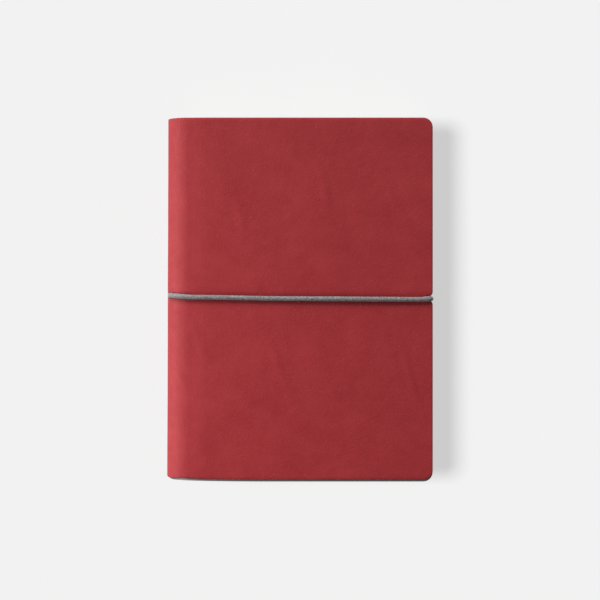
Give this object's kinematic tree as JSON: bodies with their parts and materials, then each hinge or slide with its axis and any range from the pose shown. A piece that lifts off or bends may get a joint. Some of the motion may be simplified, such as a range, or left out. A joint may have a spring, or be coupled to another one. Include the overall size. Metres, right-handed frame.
{
  "type": "pocket notebook",
  "caption": "Pocket notebook with red leather covers, a rounded spine, sewn leaves and a grey elastic cord that closes it.",
  "frame": {"origin": "middle of the rectangle that the closed notebook covers on the table, at the table", "axes": "+X from the spine to the fore-edge, +Y from tail to head, +Z out of the front cover"},
  "size_m": [0.0952, 0.13, 0.0175],
  "materials": {
    "leather": "smooth matte dark red leather",
    "board": "matte millboard",
    "lining": "matte grey paper",
    "paper": "matte ivory paper",
    "mull": "open-weave cotton",
    "headband": "woven cord",
    "thread": "linen thread",
    "elastic": "braided grey elastic",
    "crimp": "satin"
  },
  "bodies": {
    "back_cover": {"back_cover_leather": "leather", "back_board": "board", "back_pastedown": "lining"},
    "text_block": {"spine_leather": "leather", "spine_liner": "lining", "spine_mull": "mull", "head_band": "headband", "tail_band": "headband", "sewing_thread": "thread", "back_flyleaf": "paper", "elastic_hidden_strand": "elastic", "elastic_crimp": "crimp", "signature_01_fold": "paper", "signature_02_fold": "paper", "signature_03_fold": "paper", "signature_04": "paper", "signature_05": "paper", "signature_06": "paper", "signature_07": "paper", "signature_08": "paper", "signature_09": "paper", "signature_10": "paper", "signature_11": "paper", "signature_12": "paper", "signature_13": "paper", "signature_14": "paper"},
    "front_cover": {"front_cover_leather": "leather", "front_board": "board", "front_pastedown": "lining", "elastic_front_strand": "elastic"},
    "elastic_loop": {"elastic_bight": "elastic", "elastic_back_strand": "elastic"},
    "flyleaf": {"front_flyleaf": "paper"},
    "leaves_01": {"signature_01_leaves": "paper"},
    "leaves_02": {"signature_02_leaves": "paper"},
    "leaves_03": {"signature_03_leaves": "paper"}
  },
  "joints": [
    {"name": "back_cover_hinge", "type": "hinge", "parent": "back_cover", "child": "text_block", "pos_m": [-0.0459, 0, 0.0017], "axis": [0, 1, 0], "range_deg": [-90, 0], "deforming": ["spine_leather", "elastic_back_strand"]},
    {"name": "front_cover_hinge", "type": "hinge", "parent": "text_block", "child": "front_cover", "pos_m": [-0.0459, 0, 0.0143], "axis": [0, -1, 0], "range_deg": [0, 186], "deforming": ["elastic_front_strand"]},
    {"name": "elastic_pull", "type": "slide", "parent": "front_cover", "child": "elastic_loop", "axis": [1, 0, 0], "range_m": [0, 0.006], "stiffness_N_per_m": 150, "deforming": ["elastic_bight"]},
    {"name": "flyleaf_turn", "type": "hinge", "parent": "text_block", "child": "flyleaf", "pos_m": [-0.04, 0, 0.015], "axis": [0, -1, 0], "range_deg": [0, 186]},
    {"name": "leaves_01_turn", "type": "hinge", "parent": "text_block", "child": "leaves_01", "pos_m": [-0.04, 0, 0.015], "axis": [0, -1, 0], "range_deg": [0, 186]},
    {"name": "leaves_02_turn", "type": "hinge", "parent": "text_block", "child": "leaves_02", "pos_m": [-0.04, 0, 0.015], "axis": [0, -1, 0], "range_deg": [0, 186]},
    {"name": "leaves_03_turn", "type": "hinge", "parent": "text_block", "child": "leaves_03", "pos_m": [-0.04, 0, 0.015], "axis": [0, -1, 0], "range_deg": [0, 186]}
  ],
  "couplings": [
    {"joint": "flyleaf_turn", "follows": "front_cover_hinge", "ratio": 0.965},
    {"joint": "leaves_01_turn", "follows": "front_cover_hinge", "ratio": 0.93},
    {"joint": "leaves_02_turn", "follows": "front_cover_hinge", "ratio": 0.885},
    {"joint": "leaves_03_turn", "follows": "front_cover_hinge", "ratio": 0.84}
  ]
}
